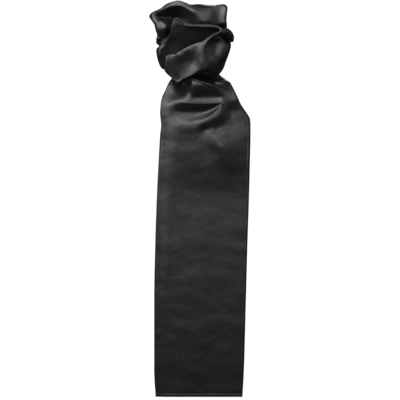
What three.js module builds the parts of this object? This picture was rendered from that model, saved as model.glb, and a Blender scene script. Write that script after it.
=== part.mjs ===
// A black satin neck scarf, tied in one loose knot, with its long end hanging.
// Millimetres, +Z up. The front looks toward -Y. The origin is at the back of the knot, where it hangs.
import * as THREE from 'three';

// Driving dimensions.
const CLOTH = 1.2; // a layer of the cloth, with its small creases
const CLEAR = 0.5; // between one layer and the next one behind it
const HANG_Y = -45; // the plane of the hanging end, and of the knot's outline
const HEM_WIDTH = 7;
const HEM_CLEAR = 0.3; // between the panel and the hem turned to its back
const HEM_TOP = 160; // how far below the origin the side hems come clear of the gathers
const LENGTH_BELOW = 714; // from the origin to the lower edge

// The mesh: how finely each stretch is divided.
const OUTLINE_STEPS = 2; // for each row of a layer's outline
const EDGE_STEPS = 3; // round a rolled edge
const PANEL_COLUMNS = 16;
const HEM_COLUMNS = 2; // at each side
const GATHER_STEP = 7; // between the panel's rows where it is gathered
const PLAIN_STEP = 28; // and where it hangs plain
const GATHER_END = 240; // how far down the gathers reach
const FOLD_STEPS = 4; // for each point of a fold's path
const ROLL_STEPS = 2; // for each row of the rolled fold
const ROLL_ACROSS = 8; // round its arch

// A layer behind another slopes away under it by this much for each millimetre across.
const TUCK_SLOPE = 1.2;
const TUCK_REACH = 6; // so far beside a point it still counts as lying over the layer behind

// How a layer's edge rolls back: how wide it rounds, how far it falls back, how many degrees it turns.
const EDGES = {
  side: { round: 15, fall: 24, turn: 95 },
  soft: { round: 8, fall: 9, turn: 115 },
  fold: { round: 3, fall: 3.2, turn: 150 },
  tuck: { round: 3, fall: 3, turn: 60 },
  back: { round: 16, fall: 15, turn: 90 },
};

// Each layer of the knot: its outline as rows of x, z, depth and kind of edge, clockwise from the right.
// Depth is the distance in front of the outline's plane. Folds are raised along a path of x, z points:
// height above the surface, then how wide each is on its left and on its right.
const FRONT_WRAP = {
  centre: { x: -5, z: -38, depth: 45 },
  outline: [
    [42, 16, 34, 'fold'], [29, 9, 40, 'fold'], [18, 1, 43, 'soft'], [6, -5, 44, 'soft'],
    [-7, -9, 43, 'soft'], [-20, -14, 41, 'soft'], [-32, -20, 38, 'soft'], [-44, -27, 34, 'soft'],
    [-56, -31, 29, 'soft'], [-66, -33, 23, 'soft'], [-70, -40, 20, 'soft'], [-71, -51, 17, 'soft'],
    [-71, -62, 14, 'soft'], [-65, -70, 16, 'soft'], [-57, -77, 20, 'soft'], [-46, -89, 26, 'fold'],
    [-34, -81, 30, 'soft'], [-20, -75, 33, 'soft'], [-1, -68, 35, 'soft'], [12, -65, 34, 'soft'],
    [24, -67, 28, 'soft'], [37, -70, 16, 'soft'], [47, -57, 8, 'side'], [52, -44, 6, 'side'],
    [58, -28, 6, 'side'], [62, -12, 6, 'side'], [58, 2, 16, 'soft'], [50, 11, 26, 'fold'],
  ],
  folds: [
    { path: [[44, 15], [29, 5], [18, -4], [11, -16], [8, -28], [9, -44]], height: 8, left: 12, right: 16 },
    { path: [[44, 0], [34, -18], [28, -38]], height: -12, left: 16, right: 16 },
    { path: [[-60, -48], [-20, -50], [14, -46], [40, -28]], height: 5, left: 20, right: 20 },
    { path: [[-42, -80], [-10, -66], [18, -58], [44, -46]], height: 5, left: 14, right: 12 },
  ],
};
const MIDDLE_FOLD = {
  centre: { x: -30, z: 0, depth: 24 },
  outline: [
    [43, 17, 33, 'fold'], [37, 22, 36, 'fold'], [28, 25, 38, 'fold'], [14, 26, 39, 'fold'],
    [0, 26, 38, 'fold'], [-16, 28, 36, 'fold'], [-30, 32, 33, 'fold'], [-39, 38, 31, 'fold'],
    [-46, 41, 29, 'fold'], [-52, 36, 28, 'fold'], [-55, 31, 27, 'soft'], [-57, 23, 25, 'soft'],
    [-58, 9, 22, 'soft'], [-65, -1, 18, 'soft'], [-76, -11, 10, 'soft'], [-86, -19, 0, 'soft'],
    [-85, -30, 0, 'side'], [-85, -39, 0, 'side'], [-81, -50, 0, 'side'], [-74, -58, 0, 'side'],
    [-60, -55, 10, 'tuck'], [-40, -42, 22, 'tuck'], [-10, -24, 28, 'tuck'], [22, -4, 31, 'tuck'],
  ],
  folds: [
    { path: [[-56, 30], [-56, 16], [-62, 2], [-74, -9], [-84, -16]], height: 3, left: 7, right: 9 },
    { path: [[-68, -26], [-71, -50]], height: -5, left: 8, right: 8 },
  ],
};
const CROWN_LOOP = {
  centre: { x: -18, z: 36, depth: 10 },
  outline: [
    [52, 40, 4, 'side'], [54, 52, 4, 'side'], [55, 64, 6, 'side'], [47, 71, 8, 'side'],
    [30, 71, 12, 'side'], [14, 71, 14, 'side'], [-2, 71, 16, 'side'], [-18, 69, 18, 'side'],
    [-29, 73, 18, 'side'], [-42, 77, 18, 'side'], [-55, 75, 16, 'side'], [-68, 70, 14, 'side'],
    [-79, 62, 10, 'side'], [-96, 55, 4, 'side'], [-102, 48, 0, 'side'], [-98, 40, 0, 'side'],
    [-92, 31, 0, 'side'], [-89, 20, 0, 'side'], [-86, 9, 0, 'side'], [-88, 0, 0, 'side'],
    [-86, -8, 0, 'side'], [-72, -12, 4, 'tuck'], [-54, -4, 14, 'tuck'], [-30, 6, 28, 'tuck'],
    [0, 10, 34, 'tuck'], [30, 10, 28, 'tuck'], [54, 12, 12, 'tuck'], [55, 26, 8, 'tuck'],
  ],
  folds: [
    { path: [[-96, 50], [-80, 60], [-60, 66], [-40, 64], [-8, 44]], height: 9, left: 14, right: 14 },
    { path: [[-64, 50], [-38, 50], [-24, 40]], height: -18, left: 17, right: 17 },
    { path: [[-74, 34], [-74, 14]], height: 12, left: 18, right: 18 },
    { path: [[-14, 58], [4, 44], [12, 30]], height: 10, left: 16, right: 16 },
    { path: [[25, 60], [26, 40], [22, 30]], height: -5, left: 12, right: 12 },
    { path: [[42, 60], [44, 36]], height: 5, left: 12, right: 12 },
  ],
};
const BACK_WRAP = {
  centre: { x: -8, z: 0, depth: -45 + CLOTH },
  outline: [
    [52, 67, -24, 'back'], [14, 69, -24, 'back'], [-18, 67, -24, 'back'], [-50, 73, -24, 'back'],
    [-78, 61, -24, 'back'], [-98, 48, -24, 'back'], [-89, 26, -24, 'back'], [-85, 2, -24, 'back'],
    [-83, -26, -24, 'back'], [-78, -50, -24, 'back'], [-60, -62, -24, 'back'], [-38, -66, -24, 'back'],
    [-10, -64, -24, 'back'], [16, -62, -24, 'back'], [40, -62, -24, 'back'], [50, -44, -24, 'back'],
    [58, -18, -24, 'back'], [58, 4, -24, 'back'], [50, 26, -24, 'back'], [52, 50, -24, 'back'],
  ],
  folds: [
    { path: [[-80, 30], [-30, 24], [30, 40]], height: 4, left: 14, right: 14 },
    { path: [[-70, -34], [-20, -26], [40, -30]], height: 4, left: 14, right: 14 },
  ],
};

// The rolled fold at the knot's right: x, z and depth of its crest, and its radius.
const ROLL_ARCH = 220; // degrees that it turns through
const SIDE_ROLL = [
  [27, 2, 46, 2], [34, 10, 44, 4], [44, 14, 39, 6], [55, 10, 28, 8], [61, 1, 16, 7], [62, -9, 8, 4],
];

// The hanging end, down from inside the knot. down: below the origin. left, right: its edges in x.
// depth: of its face. Each edge rounds off over a width (round) and falls back by a depth (fall).
// row: left, right, depth, left round, left fall, right round, right fall.
const PANEL = [
  { down: 52, row: [-46, 30, -8, 8, 6, 8, 6] },
  { down: 68, row: [-52, 40, -6, 12, 12, 8, 8] },
  { down: 77, row: [-58, 52, -5, 14, 18, 8, 12] },
  { down: 83, row: [-62, 60, -2, 14, 20, 8, 14] },
  { down: 91, row: [-66, 64, 1, 14, 22, 8, 14] },
  { down: 103, row: [-71, 70, 4, 14, 22, 8, 14] },
  { down: 114, row: [-76, 75, 8, 14, 22, 8, 14] },
  { down: 129, row: [-79, 82, 8, 16, 22, 8, 14] },
  { down: 147, row: [-80, 94, 6, 19, 20, 8, 12] },
  { down: 158, row: [-79, 100, 5, 20, 18, 3, 4] },
  { down: 170, row: [-78, 101, 3, 21, 16, 3, 1] },
  { down: 190, row: [-80, 101, 2, 22, 14, 3, 1] },
  { down: 240, row: [-83, 100, 0, 24, 10, 3, 1] },
  { down: 320, row: [-87, 98, 0, 24, 6, 3, 1] },
  { down: 410, row: [-90, 95, 0, 22, 3, 3, 1] },
  { down: 520, row: [-92, 92, 0, 10, 1, 3, 1] },
  { down: 660, row: [-92, 88, 0, 10, 1, 3, 1] },
  { down: LENGTH_BELOW, row: [-89, 85, 0, 10, 1, 3, 1] },
];
const PANEL_FOLDS = [
  { path: [[-10, -50], [-12, -66]], height: 34, left: 18, right: 18 },
  { path: [[-20, -75], [15, -88], [42, -102], [56, -108]], height: 8, left: 9, right: 14 },
  { path: [[-18, -68], [15, -74], [44, -88]], height: -10, left: 9, right: 9 },
  { path: [[-50, -118], [-32, -123], [1, -125], [22, -126], [46, -122]], height: 8, left: 14, right: 9 },
  { path: [[46, -122], [44, -132], [28, -144], [8, -156], [-12, -161]], height: 7, left: 9, right: 16 },
  { path: [[-60, -127], [-19, -140], [28, -134]], height: -5, left: 10, right: 10 },
  { path: [[-60, -152], [-19, -160], [6, -162]], height: 4, left: 14, right: 14 },
];

const SATIN = { color: 0x1a1a1b, roughness: 0.45, metalness: 0 };
const HEM_SATIN = { color: 0x161617, roughness: 0.5, metalness: 0 };

const scarf = new THREE.Group();

// The point at x, z that lies a depth in front of the outline's plane.
function at(x, depth, z) {
  return new THREE.Vector3(x, HANG_Y - depth, z);
}

// How much the folds raise the cloth at x, z.
function foldHeight(x, z, folds) {
  const here = new THREE.Vector3(x, z, 0);
  const nearest = new THREE.Vector3();
  let total = 0;
  for (const { line, height, left, right } of folds) {
    let best = Infinity;
    let width = left;
    for (const piece of line) {
      piece.closestPointToPoint(here, true, nearest);
      const distance = nearest.distanceTo(here);
      if (distance >= best) continue;
      const along = piece.end.clone().sub(piece.start);
      const turn = along.x * (here.y - piece.start.y) - along.y * (here.x - piece.start.x);
      best = distance;
      width = turn > 0 ? left : right;
    }
    const fallen = Math.min(best / width, 1);
    total += height * (1 - fallen * fallen) ** 2;
  }
  return total;
}

// Each fold's path as short straight lines.
function withLines(folds) {
  return folds.map((fold) => {
    const curve = new THREE.CatmullRomCurve3(fold.path.map(([x, z]) => new THREE.Vector3(x, z, 0)));
    const points = curve.getPoints(FOLD_STEPS * fold.path.length);
    return { ...fold, line: points.slice(1).map((point, i) => new THREE.Line3(points[i], point)) };
  });
}

// The greatest depth at x, z that still passes behind the given points of the layers in front.
function depthBehind(x, z, inFront) {
  let depth = Infinity;
  for (const point of inFront) {
    const beside = Math.max(0, Math.hypot(x - point.x, z - point.z) - TUCK_REACH);
    depth = Math.min(depth, HANG_Y - point.y - CLEAR + TUCK_SLOPE * beside);
  }
  return depth;
}

// A closed body, one cloth thick, from a surface of quads or from the part of it that is given.
// It lies under the surface by the given distance.
function thicken(name, points, quads, look, part = quads, under = 0) {
  const skin = new THREE.BufferGeometry().setFromPoints(points);
  skin.setIndex(quads.flatMap(([a, b, c, d]) => [a, b, c, a, c, d]));
  skin.computeVertexNormals();
  const normals = skin.getAttribute('normal');
  const used = [...new Set(part.flat())];
  const count = used.length;
  const sunk = (distance) =>
    used.map((index) => {
      const normal = new THREE.Vector3().fromBufferAttribute(normals, index);
      return points[index].clone().addScaledVector(normal, -distance);
    });
  const skins = [...sunk(under), ...sunk(under + CLOTH)];

  const placeOf = new Map(used.map((index, place) => [index, place]));
  const faces = part.map((quad) => quad.map((index) => placeOf.get(index)));
  const triangles = [];
  for (const [a, b, c, d] of faces) {
    triangles.push(a, b, c, a, c, d);
    triangles.push(c + count, b + count, a + count, d + count, c + count, a + count);
  }
  for (const [a, b] of openEdges(faces)) {
    triangles.push(b, a, a + count, b, a + count, b + count);
  }
  const body = new THREE.BufferGeometry().setFromPoints(skins);
  body.setIndex(triangles);
  body.computeVertexNormals();
  const mesh = new THREE.Mesh(body, new THREE.MeshStandardMaterial(look));
  mesh.name = name;
  scarf.add(mesh);
  return skins;
}

// The edges that only one quad uses, in that quad's direction.
function openEdges(quads) {
  const open = new Map();
  for (const quad of quads) {
    quad.forEach((a, i) => {
      const b = quad[(i + 1) % 4];
      if (!open.delete(`${b},${a}`)) open.set(`${a},${b}`, [a, b]);
    });
  }
  return open.values();
}

// A square grid drawn out into a closed outline: for each of its points, how far out it lies (0 to 1)
// and where on the outline it points to (0 to 4, one for each side of the square).
function squareGrid(cells) {
  const spots = [];
  for (let i = 0; i <= cells; i++) {
    for (let j = 0; j <= cells; j++) {
      const u = (2 * i) / cells - 1;
      const v = (2 * j) / cells - 1;
      const out = Math.max(Math.abs(u), Math.abs(v));
      let side = 0;
      if (out > 0 && v === -out) side = 0.5 + u / out / 2;
      else if (out > 0 && u === out) side = 1.5 + v / out / 2;
      else if (out > 0 && v === out) side = 2.5 - u / out / 2;
      else if (out > 0) side = 3.5 - v / out / 2;
      spots.push({ out, side });
    }
  }
  return spots;
}

// One layer of the knot: its face, its folds, and its edge rolled back all round.
function layer(name, { centre, outline, folds }, inFront, facing = 1) {
  const around = outline.length * OUTLINE_STEPS;
  const curve = new THREE.CatmullRomCurve3(outline.map(([x, z, d]) => new THREE.Vector3(x, z, d)), true);
  const middle = new THREE.Vector2(centre.x, centre.z);

  function edgeAt(place) {
    const index = Math.floor(place / OUTLINE_STEPS);
    const part = place / OUTLINE_STEPS - index;
    const here = EDGES[outline[index % outline.length][3]];
    const next = EDGES[outline[(index + 1) % outline.length][3]];
    const point = curve.getPoint((place % around) / around);
    const rim = new THREE.Vector2(point.x, point.y);
    const outward = rim.clone().sub(middle).normalize();
    const round = THREE.MathUtils.lerp(here.round, next.round, part);
    return {
      start: rim.clone().addScaledVector(outward, -round),
      outward,
      round,
      depth: point.z,
      fall: THREE.MathUtils.lerp(here.fall, next.fall, part),
      turn: THREE.MathUtils.degToRad(THREE.MathUtils.lerp(here.turn, next.turn, part)),
    };
  }

  const raised = withLines(folds);
  const points = [];
  function addPoint(x, z, depth) {
    const lifted = depth + facing * foldHeight(x, z, raised);
    points.push(at(x, Math.min(lifted, depthBehind(x, z, inFront)), z));
  }

  const cells = around / 4;
  for (const { out, side } of squareGrid(cells)) {
    const edge = edgeAt((side * cells) % around);
    const spot = middle.clone().lerp(edge.start, out);
    addPoint(spot.x, spot.y, THREE.MathUtils.lerp(centre.depth, edge.depth, out * out * (3 - 2 * out)));
  }
  const index = (i, j) => i * (cells + 1) + j;
  const quads = [];
  for (let i = 0; i < cells; i++) {
    for (let j = 0; j < cells; j++) {
      quads.push([index(i, j), index(i + 1, j), index(i + 1, j + 1), index(i, j + 1)]);
    }
  }

  let ring = [];
  for (let k = 0; k < cells; k++) ring.push(index(k, 0));
  for (let k = 0; k < cells; k++) ring.push(index(cells, k));
  for (let k = 0; k < cells; k++) ring.push(index(cells - k, cells));
  for (let k = 0; k < cells; k++) ring.push(index(0, cells - k));
  for (let step = 1; step <= EDGE_STEPS; step++) {
    const first = points.length;
    for (let place = 0; place < around; place++) {
      const { start, outward, round, depth, fall, turn } = edgeAt(place);
      const angle = (turn * step) / EDGE_STEPS;
      const spot = start.clone().addScaledVector(outward, round * Math.sin(angle));
      addPoint(spot.x, spot.y, depth - facing * fall * (1 - Math.cos(angle)));
    }
    const next = ring.map((_, place) => first + place);
    ring.forEach((a, place) => {
      const following = (place + 1) % around;
      quads.push([next[place], next[following], ring[following], a]);
    });
    ring = next;
  }
  return thicken(name, points, facing > 0 ? quads.map((quad) => quad.reverse()) : quads, SATIN);
}

// The rolled fold: an arch of cloth along its crest, open at the back.
function roll(name, rows) {
  const crest = new THREE.CatmullRomCurve3(rows.map(([x, z, depth]) => new THREE.Vector3(x, z, depth)));
  const along = ROLL_STEPS * (rows.length - 1);
  const arch = THREE.MathUtils.degToRad(ROLL_ARCH);
  const points = [];
  for (let i = 0; i <= along; i++) {
    const t = i / along;
    const point = crest.getPoint(t);
    const heading = crest.getTangent(t);
    const sideways = new THREE.Vector2(-heading.y, heading.x).normalize();
    const row = Math.min(Math.floor(i / ROLL_STEPS), rows.length - 2);
    const radius = THREE.MathUtils.lerp(rows[row][3], rows[row + 1][3], i / ROLL_STEPS - row);
    for (let j = 0; j <= ROLL_ACROSS; j++) {
      const angle = arch * (j / ROLL_ACROSS - 0.5);
      const offset = radius * Math.sin(angle);
      const depth = point.z - radius * (1 - Math.cos(angle));
      points.push(at(point.x + sideways.x * offset, depth, point.y + sideways.y * offset));
    }
  }
  return thicken(name, points, gridQuads(along, ROLL_ACROSS), SATIN);
}

// The quads of a grid of points, row by row, facing the front where x grows along each row.
function gridQuads(rows, columns) {
  const quads = [];
  for (let i = 0; i < rows; i++) {
    for (let j = 0; j < columns; j++) {
      const a = i * (columns + 1) + j;
      quads.push([a, a + columns + 1, a + columns + 2, a + 1]);
    }
  }
  return quads;
}

// How far a rounded edge has fallen, from 0 where it starts to 1 at its outer side.
function roundedOff(into) {
  return 1 - Math.sqrt(1 - THREE.MathUtils.clamp(into, 0, 1) ** 2);
}

// The hanging end's face: a function of how far down and how far across (0 left, 1 right).
function panelSurface(inFront) {
  const table = PANEL.flatMap(({ row }) => row);
  const rowAt = new THREE.CubicInterpolant(PANEL.map(({ down }) => down), table, PANEL[0].row.length);
  const raised = withLines(PANEL_FOLDS);
  return (down, across) => {
    const [left, right, depth, roundLeft, fallLeft, roundRight, fallRight] = rowAt.evaluate(down);
    const x = THREE.MathUtils.lerp(left, right, across);
    const leftFall = fallLeft * roundedOff(1 - (x - left) / roundLeft);
    const rightFall = fallRight * roundedOff(1 - (right - x) / roundRight);
    const lifted = depth - leftFall - rightFall + foldHeight(x, -down, raised);
    return at(x, Math.min(lifted, depthBehind(x, -down, inFront)), -down);
  };
}

// Distances down the panel: close together in the gathers, and one at the hem's upper edge.
function panelRows() {
  const top = PANEL[0].down;
  const hemEdge = LENGTH_BELOW - HEM_WIDTH;
  const gathered = Math.ceil((GATHER_END - top) / GATHER_STEP);
  const plain = Math.ceil((hemEdge - GATHER_END) / PLAIN_STEP);
  const rows = [];
  for (let i = 0; i < gathered; i++) rows.push(THREE.MathUtils.lerp(top, GATHER_END, i / gathered));
  for (let i = 0; i <= plain; i++) rows.push(THREE.MathUtils.lerp(GATHER_END, hemEdge, i / plain));
  return [...rows, LENGTH_BELOW];
}

// The hanging end, and the hem turned to its back along both sides and the lower edge.
// The columns lie closer together toward the sides, where the hem takes the outer two.
function hangingPanel(surface) {
  const rows = panelRows();
  const angles = Array.from({ length: PANEL_COLUMNS + 1 }, (_, j) => (Math.PI * j) / PANEL_COLUMNS);
  const points = rows.flatMap((down) => angles.map((angle) => surface(down, (1 - Math.cos(angle)) / 2)));
  const quads = gridQuads(rows.length - 1, PANEL_COLUMNS);
  const hemmed = quads.filter((_, k) => {
    const row = Math.floor(k / PANEL_COLUMNS);
    const column = k % PANEL_COLUMNS;
    const atSide = column < HEM_COLUMNS || column >= PANEL_COLUMNS - HEM_COLUMNS;
    return row === rows.length - 2 || (atSide && rows[row] >= HEM_TOP);
  });
  thicken('turned_hem', points, quads, HEM_SATIN, hemmed, CLOTH + HEM_CLEAR);
  return thicken('hanging_panel', points, quads, SATIN);
}

// From the front layer to the back one: each passes behind the points of all that lie in front of it.
const knotPoints = roll('side_roll', SIDE_ROLL);
knotPoints.push(...layer('front_wrap', FRONT_WRAP, knotPoints));
knotPoints.push(...layer('middle_fold', MIDDLE_FOLD, knotPoints));
knotPoints.push(...layer('crown_loop', CROWN_LOOP, knotPoints));
const panel = panelSurface([...knotPoints]);
knotPoints.push(...hangingPanel(panel));
layer('back_wrap', BACK_WRAP, knotPoints, -1);

export default scarf;
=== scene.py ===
# %% [markdown]
# A knotted satin scarf.
# The scarf is one long strip of black satin. Its top is tied in a loose knot, and one end hangs.
# The CAD model gives the frame: where each layer of the knot lies, and how far the end hangs down.
# Here each layer is made again as cloth, with its rolled edges, its creases and its sheen.

# %% Load the frame
import math

import bpy
import numpy as np
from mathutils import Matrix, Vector


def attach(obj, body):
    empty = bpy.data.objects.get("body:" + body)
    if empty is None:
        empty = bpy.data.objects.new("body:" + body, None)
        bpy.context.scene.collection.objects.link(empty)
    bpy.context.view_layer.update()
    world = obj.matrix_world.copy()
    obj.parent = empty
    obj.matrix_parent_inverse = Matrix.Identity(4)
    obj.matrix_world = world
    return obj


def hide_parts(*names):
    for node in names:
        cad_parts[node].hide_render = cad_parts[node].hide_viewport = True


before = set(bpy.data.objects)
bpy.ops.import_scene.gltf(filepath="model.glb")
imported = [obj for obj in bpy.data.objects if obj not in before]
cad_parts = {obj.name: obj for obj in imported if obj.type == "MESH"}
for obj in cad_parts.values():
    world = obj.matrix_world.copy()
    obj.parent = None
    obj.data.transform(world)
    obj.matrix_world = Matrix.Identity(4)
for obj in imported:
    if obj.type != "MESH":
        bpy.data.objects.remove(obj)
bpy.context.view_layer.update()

# %% [markdown]
# The camera.
# The photograph shows the scarf square on, with almost no perspective, so a long lens stands far back.
# A short lens close by would frame it too, but it would swell whatever stands forward.
# The picture is square and takes in 0.8 m at the plane in which the end hangs.

# %% Camera
MM = 0.001
HANG_Y = -45.0
PICTURE = 0.8
PICTURE_MIDDLE_Z = -0.32
LENS = 200.0
SENSOR = 36.0

away = PICTURE * LENS / SENSOR
camera_data = bpy.data.cameras.new("camera")
camera_data.lens = LENS
camera_data.sensor_width = SENSOR
camera = bpy.data.objects.new("camera", camera_data)
camera.location = (0.0, HANG_Y * MM - away, PICTURE_MIDDLE_Z)
camera.rotation_euler = (math.pi / 2, 0.0, 0.0)
bpy.context.scene.collection.objects.link(camera)
bpy.context.scene.camera = camera
print("camera stands", round(away, 3), "m in front of the hanging end")

# %% [markdown]
# Smooth curves from a few points.
# A fold or an outline is easiest to give as a short list of points that a smooth curve runs through.
# Blender's own curve objects can do it, but here the vertices need the curve's numbers, so one short
# function works them out: each stretch between two points bends towards its neighbours.


# %% Smooth curves
PATH_STEPS = 12


def cubic(part, start, leaving, end, arriving):
    """A curve from start to end, with its slope given where it leaves and where it arrives."""
    square, cube = part**2, part**3
    return (
        (2 * cube - 3 * square + 1) * start
        + (cube - 2 * square + part) * leaving
        + (3 * square - 2 * cube) * end
        + (cube - square) * arriving
    )


def smooth_row(table, where, closed):
    """Rows of a table, blended smoothly at the places given: place 2.5 is halfway from row 2 to row 3."""
    table = np.asarray(table, float)
    count = len(table)
    place = np.asarray(where, float)
    first = np.floor(place).astype(int)
    if not closed:
        first = np.clip(first, 0, count - 2)
    part = (place - first)[..., None]

    def row(offset):
        index = first + offset
        return table[index % count] if closed else table[np.clip(index, 0, count - 1)]

    before, start, end, after = row(-1), row(0), row(1), row(2)
    return cubic(part, start, (end - before) / 2, end, (after - start) / 2)


def smooth_path(points):
    """A line of close points through the given ones."""
    return smooth_row(points, np.linspace(0, len(points) - 1, PATH_STEPS * len(points)), closed=False)


print("a curve through three points has", len(smooth_path([(0, 0), (1, 1), (2, 0)])), "points")

# %% [markdown]
# Folds.
# A crease in satin is a soft ridge or valley that runs along a path. It is steeper on one side than on
# the other, and it dies away at its ends. It could be pressed in by hand with a sculpting brush, but a
# path, a height and two widths are easy to read and to change, and give the same fold each time.
# Depth is measured in millimetres toward the viewer.


# %% Folds
TINY = 1e-9


def fold(path, height, left, right=None, sharp=0.0, fade=(0.25, 0.25)):
    """One fold of the cloth.

    sharp is 0 for a round crest and 1 for a pinched one. fade is the share of its length over which it
    dies away, at its start and at its end.
    """
    return {
        "line": smooth_path(path),
        "height": height,
        "widths": (left, left if right is None else right),
        "sharp": sharp,
        "fade": fade,
    }


def eased(value):
    """From 0 to 1 with a soft start and end."""
    value = np.clip(value, 0.0, 1.0)
    return value * value * (3 - 2 * value)


def fold_height(x, z, folds):
    """How far the folds lift the cloth at each point."""
    here = np.stack([x, z], axis=-1)
    total = np.zeros(x.shape)
    for item in folds:
        line = item["line"]
        pieces = len(line) - 1
        nearest = np.full(x.shape, np.inf)
        along = np.zeros(x.shape)
        turn = np.zeros(x.shape)
        for number in range(pieces):
            start, step = line[number], line[number + 1] - line[number]
            offset = here - start
            part = np.clip(offset @ step / max(step @ step, TINY), 0.0, 1.0)
            distance = np.linalg.norm(offset - part[..., None] * step, axis=-1)
            closer = distance < nearest
            nearest = np.where(closer, distance, nearest)
            along = np.where(closer, (number + part) / pieces, along)
            turn = np.where(closer, step[0] * offset[..., 1] - step[1] * offset[..., 0], turn)
        left, right = item["widths"]
        fallen = np.clip(nearest / np.where(turn > 0, left, right), 0.0, 1.0)
        crest = item["sharp"] * (1 - fallen) ** 2 + (1 - item["sharp"]) * (1 - fallen**2) ** 2
        fade_in, fade_out = item["fade"]
        crest = crest * eased(along / fade_in) * eased((1 - along) / fade_out)
        total += item["height"] * crest
    return total


trial = fold([(-20, 0), (20, 0)], 2.0, 5.0)
print("a fold of 2 mm lifts its middle by", fold_height(np.zeros(1), np.zeros(1), [trial])[0], "mm")


# %% [markdown]
# Smooth sheets.
# Between its folds pulled cloth takes the shape of a thin springy plate: it goes through every line that
# it is held to, and bends as little as it can in between. A cloth simulation tends towards the same
# shape, but it would also move the folds that the photograph shows, so the plate is worked out here.


# %% A sheet through lines
# the gap between a line's points, the length that the plate's sums are scaled by, and the plate's give
POINT_GAP = 6.0
PLATE_SCALE = 50.0
PLATE_GIVE = 0.0004


def spread(line):
    """Points of a line of x, z and depth, at about even gaps."""
    line = np.asarray(line, float)
    if len(line) < 2:
        return line
    length = np.linalg.norm(np.diff(line[:, :2], axis=0), axis=1).sum()
    return smooth_row(line, np.linspace(0, len(line) - 1, max(int(length / POINT_GAP), 2)), closed=False)


def bend_energy(near, points):
    """The plate's answer at some places to a pull at each point."""
    apart = np.linalg.norm(near[:, None, :] - points[None, :, :], axis=2) / PLATE_SCALE
    return apart**2 * np.log(np.maximum(apart, TINY))


def stretched(lines):
    """The depth of a sheet that runs through the lines: a function of x and z."""
    held = np.concatenate([spread(line) for line in lines])
    places, depths = held[:, :2], held[:, 2]
    flat = np.column_stack([np.ones(len(held)), places / PLATE_SCALE])
    pulls = bend_energy(places, places) + PLATE_GIVE * np.eye(len(held))
    system = np.block([[pulls, flat], [flat.T, np.zeros((3, 3))]])
    answer = np.linalg.solve(system, np.concatenate([depths, np.zeros(3)]))

    def depth_at(x, z):
        near = np.column_stack([x, z])
        return bend_energy(near, places) @ answer[:-3] + answer[-3] + near @ answer[-2:] / PLATE_SCALE

    return depth_at


ramp = stretched([[(0, 0, 0), (0, 40, 0)], [(40, 0, 8), (40, 40, 8)]])
print("halfway up a ramp of 8 mm:", round(float(ramp(np.array([20.0]), np.array([20.0]))[0]), 2), "mm")

# %% [markdown]
# Layers that lie behind one another.
# Cloth can't pass through cloth, so each layer of the knot has to dip where another one lies over it.
# A simulation with collisions could push them apart, but slowly, and it would shift the folds too.
# Here a map keeps, for each spot, the farthest forward that a layer behind may come. The layers are
# made from the front to the back. Each sheet is held behind the map, and is then entered in it.

# %% The map of what lies in front
# the side of a cell, the map's low corner, how many cells it has, and the depth where nothing lies
CELL = 1.5
MAP_LOW = np.array([-125.0, -200.0])
MAP_SIZE = (160, 200)
OPEN = 90.0
# the gap behind a layer, how steeply room opens beside it, and for how many cells
CLEAR = 1.2
TUCK_SLOPE = 2.0
TUCK_REACH = 16
# how gradually cloth comes to lie behind what holds it back, and how often the map is smoothed
TUCK_SOFT = 1.5
MAP_EVENED = 4
# places stay this far inside the map's far sides, so that each has a cell after it
LAST_CELL = 1.001

in_front = np.full(MAP_SIZE, OPEN)


def cover(x, z, depth):
    """Enter a layer's points in the map."""
    cells = np.round((np.stack([x, z], axis=-1) - MAP_LOW) / CELL).astype(int)
    inside = (cells >= 0).all(axis=-1) & (cells < np.array(MAP_SIZE)).all(axis=-1)
    np.minimum.at(in_front, tuple(cells[inside].T), depth[inside])


def sloping(grid, slope, reach):
    """The least of each cell and those in reach, which count as higher the farther off they are."""
    wide = np.pad(grid, reach, constant_values=OPEN)
    rows, columns = grid.shape
    least = grid.copy()
    for i in range(2 * reach + 1):
        for j in range(2 * reach + 1):
            away_cells = math.hypot(i - reach, j - reach)
            if away_cells <= reach + 0.5:
                raised = wide[i : i + rows, j : j + columns] + slope * CELL * away_cells
                least = np.minimum(least, raised)
    return least


def evened(grid, times):
    """A grid of numbers smoothed by its neighbours, its outer rows kept."""
    grid = grid.copy()
    for _ in range(times):
        inner = grid[:-2, 1:-1] + grid[2:, 1:-1] + grid[1:-1, :-2] + grid[1:-1, 2:]
        grid[1:-1, 1:-1] = (inner + 4 * grid[1:-1, 1:-1]) / 8
    return grid


def room_behind(slope):
    """The map with its cells joined up, sloping away round each layer's edge, and smoothed."""
    return evened(sloping(sloping(in_front, 0.0, 1), slope, TUCK_REACH), MAP_EVENED)


def tucked(x, z, depth, clear, slope):
    """Depths held back so that the cloth passes behind what is in front of it."""
    room = room_behind(slope)
    place = (np.stack([x, z], axis=-1) - MAP_LOW) / CELL
    place = np.clip(place, 0, np.array(MAP_SIZE) - LAST_CELL)
    i, j = np.floor(place).astype(int).T
    u, v = (place - np.floor(place)).T
    low = room[i, j] * (1 - u) + room[i + 1, j] * u
    high = room[i, j + 1] * (1 - u) + room[i + 1, j + 1] * u
    limit = low * (1 - v) + high * v - clear
    over = depth - limit
    eased_back = depth - (over + TUCK_SOFT) ** 2 / (4 * TUCK_SOFT)
    return np.where(over > TUCK_SOFT, limit, np.where(over < -TUCK_SOFT, depth, eased_back))


def held_behind(x, z, depth, shape, clear, slope, times):
    """The grid's depths held back, with the step between held and free cloth smoothed out."""
    held_back = depth - tucked(x, z, depth, clear, slope)
    return depth - evened(held_back.reshape(shape), times).ravel()


print("the map covers", [round(n * CELL) for n in MAP_SIZE], "mm")

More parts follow.
